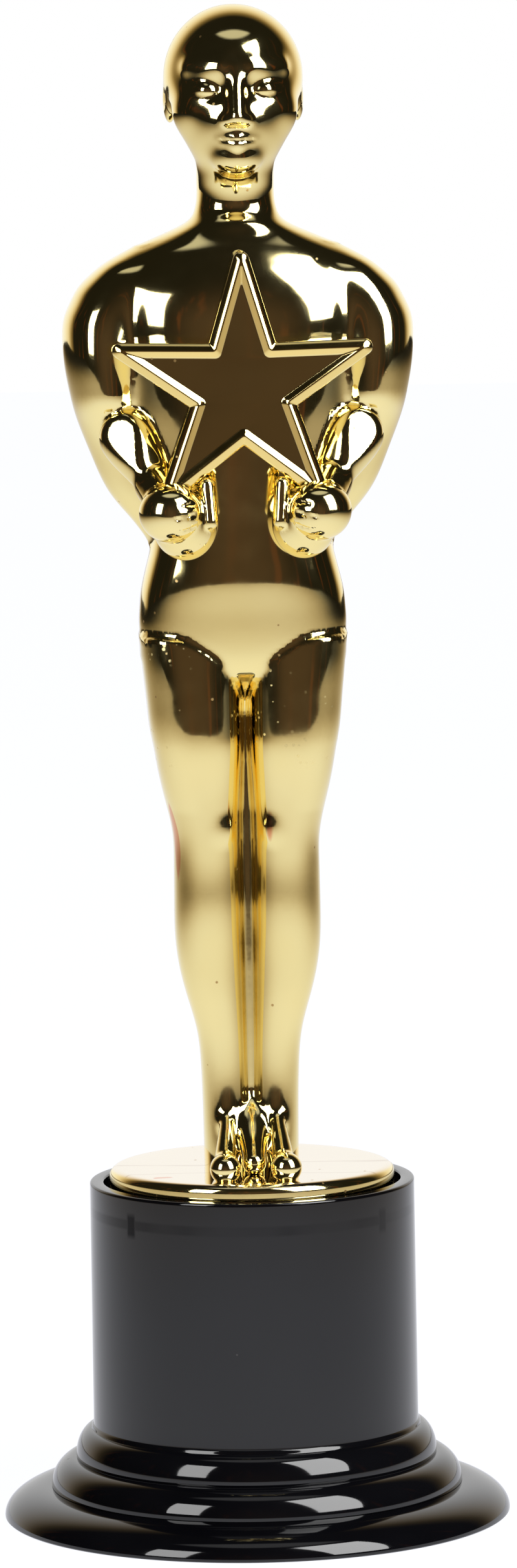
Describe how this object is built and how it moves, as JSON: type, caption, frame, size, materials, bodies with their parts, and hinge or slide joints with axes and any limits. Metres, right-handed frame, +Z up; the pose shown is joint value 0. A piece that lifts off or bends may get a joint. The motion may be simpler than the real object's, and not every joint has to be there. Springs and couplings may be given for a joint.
{
  "type": "star trophy",
  "caption": "Party award: a slim gold mirror-finish figure holding a star in front of its chest, on a foot disc sunk in a glossy black round pedestal with a stepped foot.",
  "frame": {"origin": "centre of the pedestal's underside, in the plane that it stands on", "axes": "+Z up along the figure, -Y the way the figure and its star face, +X to the figure's left"},
  "size_m": [0.0516, 0.0516, 0.1524],
  "materials": {
    "gold_plating": "vacuum-metallised mirror gold on moulded polystyrene",
    "black_plastic": "high-gloss black moulded polystyrene",
    "zinc_steel": "bright zinc plate"
  },
  "bodies": {
    "root": {"figure_front_shell": "gold_plating", "figure_back_shell": "gold_plating", "pedestal": "black_plastic", "fixing_screw_front": "zinc_steel", "fixing_screw_back": "zinc_steel", "screw_washer_front": "zinc_steel", "screw_washer_back": "zinc_steel"}
  },
  "joints": []
}
